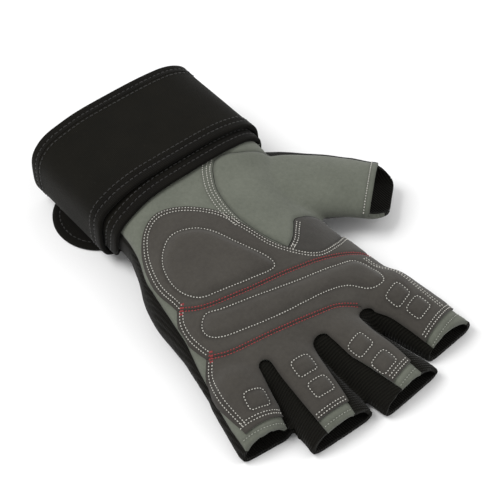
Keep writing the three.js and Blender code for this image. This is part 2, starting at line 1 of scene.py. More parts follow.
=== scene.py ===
# A left-hand half-finger weightlifting glove, lying palm up: its surfaces, stitches and materials.
# The shapes are worked out in millimetres in the frame of the solids and scaled to metres at the end.
import math
from functools import partial

import bmesh
import bpy
import numpy as np
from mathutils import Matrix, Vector, noise
from mathutils.bvhtree import BVHTree


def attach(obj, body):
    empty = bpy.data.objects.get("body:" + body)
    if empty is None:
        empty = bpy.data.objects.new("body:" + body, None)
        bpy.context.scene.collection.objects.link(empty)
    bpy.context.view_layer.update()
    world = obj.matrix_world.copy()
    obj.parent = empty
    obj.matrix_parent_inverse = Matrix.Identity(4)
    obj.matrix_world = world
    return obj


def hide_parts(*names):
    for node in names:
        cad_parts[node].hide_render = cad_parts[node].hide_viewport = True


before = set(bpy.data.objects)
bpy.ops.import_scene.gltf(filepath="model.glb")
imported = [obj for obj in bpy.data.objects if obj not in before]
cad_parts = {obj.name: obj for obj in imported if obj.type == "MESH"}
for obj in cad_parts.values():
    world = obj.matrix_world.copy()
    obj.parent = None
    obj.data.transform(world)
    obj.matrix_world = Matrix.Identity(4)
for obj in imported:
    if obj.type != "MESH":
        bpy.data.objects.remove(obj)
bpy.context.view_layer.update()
MM = 0.001

# Hand: the same named sizes as the solids.
PALM_WIDTH = 100
PALM_LENGTH = 97
PALM_HEIGHT = 34
WRIST_Y = 45
SHELL_WALL = 1.8
LAYER_GAP = 0.3
PATCH_WALL = 1.2
PAD_RISE = 1.6
POCKET_RISE = 0.9
HEM_WIDTH = 5.5
PALM_DIP = 3
DIGIT_DIP = 1.5
DIGIT_SQUARE = 2
FOURCHETTE_FLOOR = 4

# Wrap: the same sizes as the solids.
WRAP_HEIGHT = 55
WRAP_WALL = 2.4
WRAP_TURNS = 2
WRAP_START = 204
WRAP_SWEEP = 660
WRAP_RAMP = 26
BINDING_WIDTH = 6
TAB_WIDTH = 46
TAB_REACH = 50
TAB_WALL = 2.2
CUFF_WALL = 2
CUFF_LENGTH = 40
SHEATH = WRAP_TURNS * (WRAP_WALL + LAYER_GAP)
BODY_END = WRIST_Y + 12

# Fineness of the surfaces.
VOXEL = 0.9
SMOOTHINGS = 10
ROOT_Y = -50  # the line of the finger roots, and where their further smoothing ends
ROOT_REACH = 22
ROOT_FLOOR = 8
ROOT_SIDE = 58
ROOT_FADE = 6
ROOT_SMOOTHINGS = 90
SEAM = 0.12  # half the gap between panels that are sewn edge to edge
PAST = 4  # how far the closed hand runs on through its openings before they are cut
FAR = 150

PALM_KEYS = ("along", "left", "right", "crown", "wide", "square", "lifted")
PALM_SECTIONS = [
    (-0.14, -0.4, 0.435, 1.09, 0.6, 3.2, 1),
    (0.05, -0.4, 0.435, 1.09, 0.6, 3.2, 1),
    (0.17, -0.428, 0.43, 1.04, 0.46, 2.8, 0.3),
    (0.31, -0.485, 0.425, 0.99, 0.36, 2.5, 0),
    (0.47, -0.523, 0.43, 0.92, 0.3, 2.3, 0),
    (0.67, -0.537, 0.453, 0.81, 0.25, 2.3, 0),
    (0.87, -0.573, 0.492, 0.675, 0.2, 2.2, 0),
    (0.98, -0.58, 0.508, 0.55, 0.16, 2.1, 0),
    (1.1, -0.57, 0.5, 0.2, 0.1, 2, 0),
]
DIGIT_KEYS = ("across", "along", "splay", "length", "root_width", "end_width", "skew")
FINGERS = {
    "little": (-0.455, 0.94, -12.5, 25.5, 26, 25, -1),
    "ring": (-0.21, 0.97, -3, 37.5, 27, 34, 0),
    "middle": (0.05, 1.0, 12, 39.5, 27, 34, 2.5),
    "index": (0.37, 0.98, 13.5, 33, 30, 28, 2.5),
}
FINGERS = {name: dict(zip(DIGIT_KEYS, row), rake=1.5, start=-0.4) for name, row in FINGERS.items()}
FINGER_KEYS = ("along", "width", "crown", "wide")
FINGER_SECTIONS = [
    (-0.4, 0.72, 0.52, 0.3),
    (0, 1, 0.62, 0.25),
    (0.4, 1, 0.5, 0.24),
    (0.75, 1, 0.41, 0.24),
    (1, 1, 0.37, 0.24),
]
THUMB = dict(across=0.28, along=0.19, splay=56.8, length=54.2, root_width=47, skew=5, rake=9,
             start=-0.25)
THUMB_KEYS = ("along", "width", "bow", "crown", "wide", "floor")
THUMB_SECTIONS = [
    (-0.25, 0.85, 0.02, 0.78, 0.5, 0.3),
    (0, 1, 0.04, 0.88, 0.53, 0.26),
    (0.5, 0.81, 0.08, 0.82, 0.5, 0.27),
    (0.75, 0.73, 0.06, 0.77, 0.48, 0.25),
    (1, 0.69, -0.01, 0.72, 0.47, 0.24),
]

# Heights of the side seams, along the hand, as a share of the palm's height.
LITTLE_SEAM = [
    (-0.2, 0.82), (0.04, 0.79), (0.24, 0.66), (0.36, 0.635), (0.46, 0.6), (0.55, 0.55),
    (0.65, 0.48), (0.76, 0.39), (0.93, 0.3), (1.16, 0.24), (1.5, 0.19),
]
INDEX_SEAM = [
    (-0.2, 0.82), (0.04, 0.79), (0.23, 0.62), (0.34, 0.54), (0.5, 0.47), (0.7, 0.41), (0.93, 0.32),
    (1.16, 0.24), (1.5, 0.19),
]
THUMB_SEAM = [(-0.2, 0.6), (0.1, 0.57), (0.37, 0.47), (0.52, 0.36), (0.65, 0.27), (0.9, 0.24)]

# Outlines seen from above: across, along.
FIRST_SEAM = [
    (-0.45, 0.515), (-0.37, 0.588), (-0.19, 0.649), (0.03, 0.686), (0.23, 0.722), (0.39, 0.763),
    (0.56, 0.83),
]
SECOND_SEAM = [
    (-0.49, 0.773), (-0.41, 0.825), (-0.2, 0.876), (0.02, 0.918), (0.11, 0.938), (0.2, 0.985),
]
HEEL_EDGE = [
    (-0.45, 0.515), (-0.455, 0.361), (-0.405, 0.206), (-0.34, 0.124), (-0.26, 0.093),
    (-0.17, 0.113), (-0.07, 0.186), (0.0, 0.278), (0.04, 0.402), (0.08, 0.526), (0.14, 0.613),
    (0.22, 0.675), (0.34, 0.665), (0.43, 0.63), (0.47, 0.645), (0.56, 0.7),
]
BAR_EDGE = [(-0.45, 0.515), (-0.485, 0.567), (-0.5, 0.639), (-0.498, 0.711), (-0.49, 0.773)]
FINGER_EDGE = [(-0.49, 0.773), (-0.54, 0.835), (-0.575, 0.938), (-0.58, 1.05), (-0.575, 1.144)]
HEEL_PAD = [
    (-0.38, 0.33), (-0.33, 0.26), (-0.26, 0.227), (-0.17, 0.258), (-0.11, 0.32), (-0.06, 0.433),
    (0.01, 0.6), (0.0, 0.635), (-0.12, 0.623), (-0.26, 0.586), (-0.35, 0.55), (-0.395, 0.46),
]
BAR_PAD = [
    (-0.425, 0.66), (-0.38, 0.625), (-0.31, 0.655), (-0.16, 0.7), (0.05, 0.75), (0.24, 0.778),
    (0.34, 0.8), (0.38, 0.88), (0.36, 0.965), (0.31, 0.965), (0.21, 0.885), (0.12, 0.862),
    (-0.1, 0.835), (-0.25, 0.804), (-0.4, 0.745), (-0.43, 0.7),
]
THUMB_EDGE = [
    (0.2, 0.0), (0.155, 0.012), (0.119, 0.046), (0.09, 0.09), (0.065, 0.14), (0.05, 0.2),
    (0.042, 0.28), (0.045, 0.36), (0.08, 0.485), (0.125, 0.582),
]
GUSSET_EDGE = [
    (0.125, 0.582), (0.175, 0.554), (0.218, 0.511), (0.26, 0.469), (0.31, 0.468), (0.36, 0.472),
    (0.4, 0.484), (0.46, 0.52),
]
GUSSET_FOOT = [
    (0.56, 0.58), (0.56, 0.64), (0.44, 0.63), (0.34, 0.68), (0.22, 0.69), (0.14, 0.63),
]
THUMB_FAR = [
    (0.52, 0.62), (0.62, 0.75), (1.1, 0.75), (1.0, 0.6), (0.8, 0.37), (0.62, 0.185), (0.45, 0.09),
    (0.353, 0.055), (0.283, 0.032), (0.24, 0.01),
]
THUMB_ROOT = [(0.435, -0.3), (0.435, 0.55), (0.6, 0.8), (1.1, 0.8), (1.1, -0.3)]

# The gaps between the palm-side strips: along, left, right.
SLOT_TIP = 3
SLOTS = {
    "ring_little": [
        (0.97, -0.355, -0.295), (1.082, -0.375, -0.3), (1.206, -0.39, -0.305),
        (1.361, -0.42, -0.31), (1.6, -0.46, -0.32),
    ],
    "middle_ring": [
        (1.02, -0.098, -0.015), (1.144, -0.12, 0), (1.247, -0.136, 0.03), (1.371, -0.16, 0.065),
        (1.6, -0.2, 0.12),
    ],
    "index_middle": [
        (1.03, 0.16, 0.25), (1.103, 0.163, 0.285), (1.216, 0.183, 0.315), (1.32, 0.192, 0.335),
        (1.6, 0.21, 0.37),
    ],
}
PAD_LENGTH = 7.5
PAD_WIDTH = 9.5
PAD_CORNER = 1.6
POCKET_PADS = [
    ("little", 11.5, 3), ("ring", 10, 1.5), ("ring", 21, 2), ("middle", 14, -2),
    ("middle", 26, -1.5), ("index", 7, -2.5), ("index", 17, -1),
]
WRAP_EDGES = [
    (0, 47), (0.07, 43), (0.15, 42), (0.3, 44), (0.55, 46), (0.85, 50), (1, 51.5), (2, 51.5),
]


def hand_x(share):
    return share * PALM_WIDTH


def hand_y(share):
    return WRIST_Y - share * PALM_LENGTH


def cubic(t, start, start_slope, end, end_slope):
    return ((2 * t**3 - 3 * t**2 + 1) * start + (t**3 - 2 * t**2 + t) * start_slope
            + (3 * t**2 - 2 * t**3) * end + (t**3 - t**2) * end_slope)


def row_at(table, along):
    """A row of a table at a place along it, on a smooth curve. Level stretches stay level."""
    last = len(table) - 1
    i = next((k for k, row in enumerate(table) if row[0] > along), last) - 1
    i = min(max(i, 0), last - 1)
    a, b, c, d = (table[min(max(i + k, 0), last)] for k in (-1, 0, 1, 2))
    span = c[0] - b[0]
    t = min(max((along - b[0]) / span, 0), 1)
    out = []
    for p, q, r, s in zip(a, b, c, d):
        slope_q = 0 if q == r or p == q else (r - p) / (c[0] - a[0]) * span
        slope_r = 0 if r == s else (s - q) / (d[0] - b[0]) * span
        out.append(cubic(t, q, slope_q, r, slope_r))
    return out


def named_row(table, keys, along):
    return dict(zip(keys, row_at(table, along)))


def oval_point(oval, angle, offset=0):
    """One point of a flat-bottomed oval, grown outwards by offset: across and up."""
    def rounded(value):
        return math.copysign(abs(value) ** (2 / oval["square"]), value)
    c = rounded(math.cos(angle))
    s = rounded(math.sin(angle))
    up_rise = oval["crown"] - oval["wide"]
    down_rise = oval["wide"] - oval["floor"] + oval["dip"]
    rise = up_rise if s > 0 else down_rise
    across = oval["centre"] + (oval["half"] + offset) * c
    return across, max(oval["wide"] + (rise + offset) * s, oval["floor"] - offset)


def palm_oval(along):
    row = named_row(PALM_SECTIONS, PALM_KEYS, along)
    return {
        "centre": hand_x((row["left"] + row["right"]) / 2),
        "half": hand_x((row["right"] - row["left"]) / 2),
        "crown": row["crown"] * PALM_HEIGHT,
        "wide": row["wide"] * PALM_HEIGHT,
        "floor": row["lifted"] * SHEATH,
        "square": row["square"],
        "dip": PALM_DIP,
    }


def digit_oval(digit, along):
    if digit is THUMB:
        row = named_row(THUMB_SECTIONS, THUMB_KEYS, along)
        root = digit["root_width"]
        return {"centre": row["bow"] * root, "half": row["width"] * root / 2,
                "crown": row["crown"] * PALM_HEIGHT, "wide": row["wide"] * PALM_HEIGHT,
                "floor": row["floor"] * PALM_HEIGHT, "square": DIGIT_SQUARE, "dip": DIGIT_DIP}
    row = named_row(FINGER_SECTIONS, FINGER_KEYS, along)
    share = max(0, along)
    width = row["width"] * (digit["root_width"] * (1 - share) + digit["end_width"] * share)
    crown = row["crown"] * PALM_HEIGHT
    return {"centre": 0, "half": width / 2, "crown": crown, "wide": row["wide"] * crown,
            "floor": 0, "square": DIGIT_SQUARE, "dip": DIGIT_DIP}


def finger_point(digit, forward, sideways, up=0):
    """A point of a digit's frame: forward from its root and sideways to the thumb."""
    splay = math.radians(digit["splay"])
    return (
        hand_x(digit["across"]) + forward * math.sin(splay) + sideways * math.cos(splay),
        hand_y(digit["along"]) - forward * math.cos(splay) + sideways * math.sin(splay),
        up,
    )


def past_end(digit, oval, sideways, up):
    """How far a place on a digit's outline runs past its end: askew, and on to its back."""
    if digit is THUMB:
        share = max(0, (oval["wide"] - up) / (oval["wide"] - oval["floor"]))
    else:
        share = 1 - up / oval["crown"]
    return digit["rake"] * share + digit["skew"] * (sideways - oval["centre"]) / oval["half"]


# Meshes.

def linked(name, data):
    """A new object of the scene."""
    thing = bpy.data.objects.new(name, data)
    bpy.context.scene.collection.objects.link(thing)
    return thing


def mesh_object(name, points, faces):
    mesh = bpy.data.meshes.new(name)
    mesh.from_pydata([tuple(point) for point in points], [], faces)
    mesh.update()
    return linked(name, mesh)


def woven(thing, flat_place):
    """Gives each point its place on the flat cloth, in metres."""
    layer = thing.data.uv_layers.new(name="weave")
    for loop in thing.data.loops:
        layer.data[loop.index].uv = flat_place(loop.vertex_index)


def turned_round(steps):
    """The angles of a ring with so many steps."""
    return [2 * math.pi * i / steps for i in range(steps)]


def facing_outwards(thing):
    bm = bmesh.new()
    bm.from_mesh(thing.data)
    bmesh.ops.recalc_face_normals(bm, faces=bm.faces)
    bm.to_mesh(thing.data)
    bm.free()
    return thing


def loft(name, rings, round_again=False):
    """A solid through rings of equal length, with flat ends or from its last ring on to its first."""
    steps = len(rings[0])
    points = [point for ring in rings for point in ring]
    faces = []
    for start in range(0, len(points) if round_again else len(points) - steps, steps):
        after = (start + steps) % len(points)
        for i in range(steps):
            k = (i + 1) % steps
            faces.append((start + i, start + k, after + k, after + i))
    if not round_again:
        faces.append(tuple(range(steps)))
        faces.append(tuple(reversed(range(len(points) - steps, len(points)))))
    return facing_outwards(mesh_object(name, points, faces))


def block_between(first, second):
    """A closed cutting block between two outlines of equal length."""
    count = len(first)
    faces = [tuple(range(count)), tuple(range(count, 2 * count))]
    faces += [(i, (i + 1) % count, count + (i + 1) % count, count + i) for i in range(count)]
    return facing_outwards(mesh_object("block", [*first, *second], faces))


def applied(thing):
    """Turns the result of an object's modifiers into its mesh."""
    graph = bpy.context.evaluated_depsgraph_get()
    mesh = bpy.data.meshes.new_from_object(thing.evaluated_get(graph))
    thing.modifiers.clear()
    old = thing.data
    thing.data = mesh
    bpy.data.meshes.remove(old)
    return thing


def arrays(mesh):
    """A mesh's points and its normals, a row each."""
    count = len(mesh.vertices)
    places = np.empty(count * 3)
    normals = np.empty(count * 3)
    mesh.vertices.foreach_get("co", places)
    mesh.vertices.foreach_get("normal", normals)
    return places.reshape(-1, 3), normals.reshape(-1, 3)


def removed(thing):
    bpy.data.objects.remove(thing, do_unlink=True)


def digit_rings(digit):
    rings = []
    for along in np.linspace(digit["start"], 1 + PAST / digit["length"], 30):
        oval = digit_oval(digit, along)
        ring = []
        for sideways, up in (oval_point(oval, angle) for angle in turned_round(64)):
            forward = along * digit["length"]
            forward += max(0, along) * past_end(digit, oval, sideways, up)
            ring.append(finger_point(digit, forward, sideways, up))
        rings.append(ring)
    return rings


def smoothed(thing, factor, iterations, group=""):
    smooth = thing.modifiers.new("smooth", "SMOOTH")
    smooth.factor = factor
    smooth.iterations = iterations
    smooth.vertex_group = group
    return applied(thing)


def hand_solid():
    """The whole hand as one closed, smoothly joined surface that runs on past its openings."""
    rings = []
    for along in np.linspace(-(BODY_END - WRIST_Y + PAST) / PALM_LENGTH, 1.1, 60):
        ring = (oval_point(palm_oval(along), angle) for angle in turned_round(96))
        rings.append([(x, hand_y(along), z) for x, z in ring])
    parts = [loft("palm", rings)]
    parts += [loft("digit", digit_rings(digit)) for digit in (*FINGERS.values(), THUMB)]
    joined = bmesh.new()
    for part in parts:
        joined.from_mesh(part.data)
        removed(part)
    hand = mesh_object("hand", [], [])
    joined.to_mesh(hand.data)
    joined.free()
    remesh = hand.modifiers.new("remesh", "REMESH")
    remesh.mode = "VOXEL"
    remesh.voxel_size = VOXEL
    smoothed(hand, 0.5, SMOOTHINGS)
    # The palm's top runs into the fingers without a crease.
    x, y, z = arrays(hand.data)[0].T
    blend = np.clip(1 - np.abs(y - ROOT_Y) / ROOT_REACH, 0, 1) * np.clip(
        (z - ROOT_FLOOR) / ROOT_FADE, 0, 1) * np.clip((ROOT_SIDE - x) / ROOT_FADE, 0, 1)
    group = hand.vertex_groups.new(name="roots")
    for weight in np.unique(np.round(blend, 1)):
        chosen = np.flatnonzero(np.round(blend, 1) == weight)
        group.add([int(i) for i in chosen], float(weight), "REPLACE")
    smoothed(hand, 0.6, ROOT_SMOOTHINGS, "roots")
    hand.vertex_groups.clear()
    return hand


# Outlines and cutting shapes.

def smooth_line(points, steps=8, closed=False):
    """A centripetal curve through points, as an array of x and y."""
    points = [np.array(point, float) for point in points]
    count = len(points)
    spans = count if closed else count - 1
    out = []
    for i in range(spans):
        if closed:
            p0, p1, p2, p3 = (points[(i + k) % count] for k in (-1, 0, 1, 2))
        else:
            p1, p2 = points[i], points[i + 1]
            p0 = points[i - 1] if i else 2 * p1 - p2
            p3 = points[i + 2] if i + 2 < count else 2 * p2 - p1
        d0, d1, d2 = (max(np.linalg.norm(b - a), 1e-6) ** 0.5
                      for a, b in ((p0, p1), (p1, p2), (p2, p3)))
        m1 = ((p1 - p0) / d0 - (p2 - p0) / (d0 + d1) + (p2 - p1) / d1) * d1
        m2 = ((p2 - p1) / d1 - (p3 - p1) / (d1 + d2) + (p3 - p2) / d2) * d1
        out += [cubic(t, p1, m1, p2, m2) for t in np.arange(steps) / steps]
    if not closed:
        out.append(points[-1])
    return np.array(out)


def curve(table, steps=8, closed=False):
    return smooth_line([(hand_x(row[0]), hand_y(row[1])) for row in table], steps, closed)


def beside(line, distance, closed=False):
    """A line moved to its left by a distance, or to its right by a negative one."""
    if closed:
        before = np.roll(line, 1, axis=0)
        after = np.roll(line, -1, axis=0)
    else:
        before = np.vstack([line[:1], line[:-1]])
        after = np.vstack([line[1:], line[-1:]])
    along = after - before
    along /= np.maximum(np.linalg.norm(along, axis=1, keepdims=True), 1e-9)
    return line + np.stack([-along[:, 1], along[:, 0]], axis=1) * distance


def grown(outline, distance):
    x, y = outline[:, 0], outline[:, 1]
    area = np.sum(x * np.roll(y, -1) - np.roll(x, -1) * y)
    return beside(outline, -distance * np.sign(area), closed=True)


def prism(outline, low=-FAR, high=FAR):
    """An upright cutting block with the outline given."""
    return block_between([(x, y, low) for x, y in outline], [(x, y, high) for x, y in outline])


def above(seam, lift, left=-FAR, right=FAR):
    """All that lies above a seam whose height changes along the hand, in a slice across the hand."""
    line = [(hand_y(along), row_at(seam, along)[1] * PALM_HEIGHT + lift)
            for along in np.linspace(seam[0][0], seam[-1][0], 60)]
    line += [(-FAR, line[-1][1]), (-FAR, FAR), (FAR, FAR), (FAR, line[0][1])]
    return block_between([(left, y, z) for y, z in line], [(right, y, z) for y, z in line])


def above_sides(lift):
    """The same over the seams of both sides, which meet in the hollow of the hand."""
    return carved(above(LITTLE_SEAM, lift, right=0), above(INDEX_SEAM, lift, left=0), "UNION")


def opening_block(digit):
    """A block whose near face is the open end of a digit."""
    oval = digit_oval(digit, 1)
    heights = (-12, oval["wide"], 50)
    rings = []
    for side in (-1, 1):
        sideways = oval["centre"] + side * (oval["half"] + 0.8)
        ring = []
        for ahead, ups in ((0, heights), (PAST + 4, heights[::-1])):
            for up in ups:
                forward = digit["length"] + past_end(digit, oval, sideways, up) + ahead
                ring.append(finger_point(digit, forward, sideways, up))
        rings.append(ring)
    return loft("block", rings)


def cut(thing, block, operation):
    """What a block leaves of an object, or what it shares with it. Cut faces get slot 1."""
    copy = linked("piece", thing.data.copy())
    for mesh in (copy.data, block.data):
        while len(mesh.materials) < 2:
            mesh.materials.append(None)
    block.data.polygons.foreach_set("material_index", [1] * len(block.data.polygons))
    boolean = copy.modifiers.new("cut", "BOOLEAN")
    boolean.solver = "MANIFOLD"
    boolean.material_mode = "INDEX"
    boolean.operation = operation
    boolean.object = block
    return applied(copy)


def carved(thing, block, operation):
    """The same, and neither the object nor the block is kept."""
    result = cut(thing, block, operation)
    removed(thing)
    removed(block)
    return result


def parted(thing, makers):
    """The object cut by a block for each name, a little smaller for its part than for the rest."""
    parts = {}
    for name, maker in makers.items():
        inner = maker(-SEAM)
        parts[name] = cut(thing, inner, "INTERSECT")
        removed(inner)
        thing = carved(thing, maker(SEAM), "DIFFERENCE")
    return parts, thing


# Places on the hand.

def line_distance(points, line):
    """Distance in plan from each point to a line through many points."""
    best = np.full(len(points), np.inf)
    flat = points[:, :2]
    for a, b in zip(line[:-1], line[1:]):
        along = b - a
        share = np.clip((flat - a) @ along / max(along @ along, 1e-9), 0, 1)
        gap = flat - (a + share[:, None] * along)
        best = np.minimum(best, np.einsum("ij,ij->i", gap, gap))
    return np.sqrt(best)


def inside(points, outline):
    """Which points lie inside an outline, in plan."""
    x, y = points[:, 0], points[:, 1]
    odd = np.zeros(len(points), bool)
    for (ax, ay), (bx, by) in zip(outline, np.roll(outline, -1, axis=0)):
        if ay == by:
            continue
        crossing = (ay > y) != (by > y)
        odd ^= crossing & (x < (bx - ax) * (y - ay) / (by - ay) + ax)
    return odd


def pad_outline(pad):
    name, forward, sideways = pad
    long, wide = PAD_LENGTH / 2 - PAD_CORNER, PAD_WIDTH / 2 - PAD_CORNER
    points = []
    for turn, f, s in ((0, 1, 1), (1, -1, 1), (2, -1, -1), (3, 1, -1)):
        for share in np.linspace(0, 1, 4):
            angle = math.pi / 2 * (turn + share)
            ahead = forward + f * long + PAD_CORNER * math.cos(angle)
            side = sideways + s * wide + PAD_CORNER * math.sin(angle)
            points.append(finger_point(FINGERS[name], ahead, side)[:2])
    return np.array(points)


def closed_line(outline):
    return np.vstack([outline, outline[:1]])


def strip_end(name, to_thumb, to_little):
    digit = FINGERS[name]
    ahead = digit["length"] - HEM_WIDTH
    return [finger_point(digit, ahead, to_thumb)[:2], finger_point(digit, ahead, -to_little)[:2]]


heel_pad = curve(HEEL_PAD, closed=True)
bar_pad = curve(BAR_PAD, closed=True)
pockets = [(pad[0], pad_outline(pad)) for pad in POCKET_PADS]

# How far the ends of the patches reach to the sides of a finger's middle line.
STRIP_SIDE = 14
INDEX_SIDE = 20
LITTLE_SIDE = 9
first_seam = curve(FIRST_SEAM)
second_seam = curve(SECOND_SEAM)
heel_edge = curve(HEEL_EDGE)
bar_edge = curve(BAR_EDGE)
finger_edge = curve(FINGER_EDGE)
heel_outline = np.vstack([heel_edge[1:], first_seam[::-1]])
bar_outline = np.vstack([
    first_seam, strip_end("index", INDEX_SIDE, STRIP_SIDE), second_seam[::-1],
    bar_edge[::-1][1:-1],
])
fingers_outline = np.vstack([
    second_seam, strip_end("middle", STRIP_SIDE, STRIP_SIDE),
    strip_end("ring", STRIP_SIDE, STRIP_SIDE), strip_end("little", STRIP_SIDE, LITTLE_SIDE)[:1],
    finger_edge[::-1][:-1],
])


def slot_edges(name):
    rows = SLOTS[name]
    stations = np.linspace(rows[0][0], rows[-1][0], 30)
    table = [row_at(rows, along) for along in stations]
    left = np.array([(hand_x(row[1]), hand_y(row[0])) for row in table])
    right = np.array([(hand_x(row[2]), hand_y(row[0])) for row in table])
    return left, right


def slot_outline(name):
    left, right = slot_edges(name)
    middle, reach = (left[0] + right[0]) / 2, (right[0][0] - left[0][0]) / 2
    angles = np.pi * np.arange(11, 0, -1) / 12
    tip = [(middle[0] + reach * math.cos(a), middle[1] + SLOT_TIP * math.sin(a)) for a in angles]
    return np.vstack([left[::-1], tip, right])


# Rows of stitches: a line in plan, and the thread. Grooves follow the same rows.
EDGE_ROW = 1.0  # first row from a patch's edge
NEXT_ROW = 1.45  # from one row of a pair to the next
PAIR = (EDGE_ROW, EDGE_ROW + NEXT_ROW)
BASE_STEPS = (1.4, 3.0, 4.8)  # rows beside the thumb panel, from its edge
RED_STEP = 0.65  # from a red seam's line to each of its rows
HEM_STEP = 2.2  # rows beside the openings of the fingers and of the thumb, from the edge
THUMB_HEM_STEP = 3
CLEAR_OF_GAP = 1.0
ROW_REACH = 18
ROW_POINTS = 120
INDEX_POINTS = 100


def between_slots(name, short):
    """A row across a strip, from the gap on one side of it to the gap on the other."""
    slots = [None, *SLOTS, None]
    place = list(FINGERS).index(name)
    left, right = slots[place:place + 2]
    row = np.array([finger_point(FINGERS[name], FINGERS[name]["length"] - short, s)[:2]
                    for s in np.linspace(-LITTLE_SIDE if name == "little" else -ROW_REACH, ROW_REACH,
                                         ROW_POINTS)])
    keep = np.ones(len(row), bool)
    for slot in SLOTS:
        keep &= ~inside(row, grown(slot_outline(slot), CLEAR_OF_GAP))
    if left:
        edge = slot_edges(left)[1]
        keep &= row[:, 0] > np.interp(-row[:, 1], -edge[:, 1], edge[:, 0])
    if right:
        edge = slot_edges(right)[0]
        keep &= row[:, 0] < np.interp(-row[:, 1], -edge[:, 1], edge[:, 0])
    if name == "index":
        keep &= np.arange(len(row)) < INDEX_POINTS
    return row[keep]


white_rows = []
for step in PAIR:
    white_rows.append(beside(heel_edge, -step))
    white_rows.append(beside(bar_edge, step)[2:-2])
    white_rows.append(beside(finger_edge, step)[2:-3])
    white_rows.append(between_slots("little", HEM_WIDTH + step)[int(step * 3):])
    for name in ("ring", "middle", "index"):
        white_rows.append(between_slots(name, HEM_WIDTH + step))
    white_rows.append(beside(curve(GUSSET_EDGE[:4]), -step)[:-2])
pad_rows = [closed_line(line) for line in (heel_pad, bar_pad, *(line for _, line in pockets))]
base_rows = [beside(curve(THUMB_EDGE[1:8]), -step) for step in BASE_STEPS]
hem_rows = [between_slots(name, HEM_STEP) for name in FINGERS]
thumb_end = digit_oval(THUMB, 1)
thumb_row = np.array([
    finger_point(THUMB, THUMB["length"] - THUMB_HEM_STEP + THUMB["skew"] * reach,
                 thumb_end["centre"] + reach * thumb_end["half"])[:2]
    for reach in np.linspace(-0.94, 0.94, 40)
])
red_rows = [beside(line, step)[1:-1] for line in (first_seam, second_seam)
            for step in (-RED_STEP, RED_STEP)]
all_rows = white_rows + pad_rows + base_rows + hem_rows + red_rows
TACK = 1.9  # half the length of a bar of close stitches across the end of a row
tacks = []
for row in (first_seam, second_seam):
    ahead = (row[4] - row[1]) / np.linalg.norm(row[4] - row[1])
    aside = np.array([-ahead[1], ahead[0]]) * TACK
    tacks += [np.linspace(row[1] + ahead * step - aside, row[1] + ahead * step + aside, 8)
              for step in (0.2, 0.7, 1.2)]
foot = np.array([hand_x(GUSSET_EDGE[0][0]), hand_y(GUSSET_EDGE[0][1])])
white_tacks = [np.array([foot + place, foot + place + (2.4, 1.2)])
               for place in ((0.2, -1.2), (0.4, -1.8), (0.6, -2.4))]


# The hand's surface, cut into the panels that it is sewn from.

def displaced_by_noise(thing, amounts):
    """Soft unevenness: a height in mm for each size in mm, along the surface's normals."""
    mesh = thing.data
    places, normals = arrays(mesh)
    rise = np.array([sum(height * noise.noise(Vector(place) / size) for size, height in amounts)
                     for place in places])
    mesh.vertices.foreach_set("co", (places + normals * rise[:, None]).ravel())
    mesh.update()


hand = hand_solid()
displaced_by_noise(hand, [(26, 0.5), (9, 0.22), (3.5, 0.06)])
ends = [opening_block(digit) for digit in (*FINGERS.values(), THUMB)]
ends.append(prism(np.array([(-90, BODY_END), (90, BODY_END), (90, 90), (-90, 90)]), -20, 80))
for block in ends:
    hand = carved(hand, block, "DIFFERENCE")

thumb_outline = np.vstack([curve(THUMB_EDGE), curve(GUSSET_EDGE)[1:], curve(THUMB_FAR)])
gusset_outline = np.vstack([curve(GUSSET_EDGE), curve(GUSSET_FOOT)])
root_outline = np.array([(hand_x(a), hand_y(b)) for a, b in THUMB_ROOT])


def slot_block(name, growth):
    return prism(grown(slot_outline(name), growth), FOURCHETTE_FLOOR - growth)


def seam_block(outline, over, growth):
    return carved(prism(grown(outline, growth)), over, "INTERSECT")


makers = {f"fourchette_{name}": partial(slot_block, name) for name in SLOTS}
makers["thumb_palm"] = lambda growth: seam_block(thumb_outline, above(THUMB_SEAM, -growth), growth)
makers["thumb_web_gusset"] = lambda growth: seam_block(gusset_outline, above_sides(-growth), growth)
makers["thumb_back"] = lambda growth: prism(grown(root_outline, growth))
makers["palm_base"] = lambda growth: above_sides(-growth)

# The patches lie on the whole hand, over the seams of the panels under them.
whole = linked("whole", hand.data.copy())
panels, panels["back_panel"] = parted(hand, makers)
patch_area = carved(whole, above_sides(1), "INTERSECT")
for name in SLOTS:
    patch_area = carved(patch_area, slot_block(name, SEAM), "DIFFERENCE")
patches = {}
for name, outline in (("overlay_heel", heel_outline), ("overlay_bar", bar_outline),
                      ("overlay_fingers", fingers_outline)):
    block = prism(grown(outline, -SEAM))
    patches[name] = cut(patch_area, block, "INTERSECT")
    removed(block)
removed(patch_area)


def skin(thing):
    """Keeps only the hand's own surface of a cut piece, as one sheet without slivers."""
    bm = bmesh.new()
    bm.from_mesh(thing.data)
    bmesh.ops.delete(bm, geom=[f for f in bm.faces if f.material_index == 1], context="FACES")
    bmesh.ops.remove_doubles(bm, verts=bm.verts, dist=0.15)
    bmesh.ops.dissolve_degenerate(bm, dist=0.02, edges=bm.edges)
    islands = []
    seen = set()
    for start in bm.verts:
        if start in seen:
            continue
        island, front = [], [start]
        seen.add(start)
        while front:
            vert = front.pop()
            island.append(vert)
            fresh = {edge.other_vert(vert) for edge in vert.link_edges} - seen
            seen |= fresh
            front.extend(fresh)
        islands.append(island)
    islands.sort(key=len, reverse=True)
    bmesh.ops.delete(bm, geom=[v for island in islands[1:] for v in island], context="VERTS")
    bm.to_mesh(thing.data)
    bm.free()
    thing.data.update()


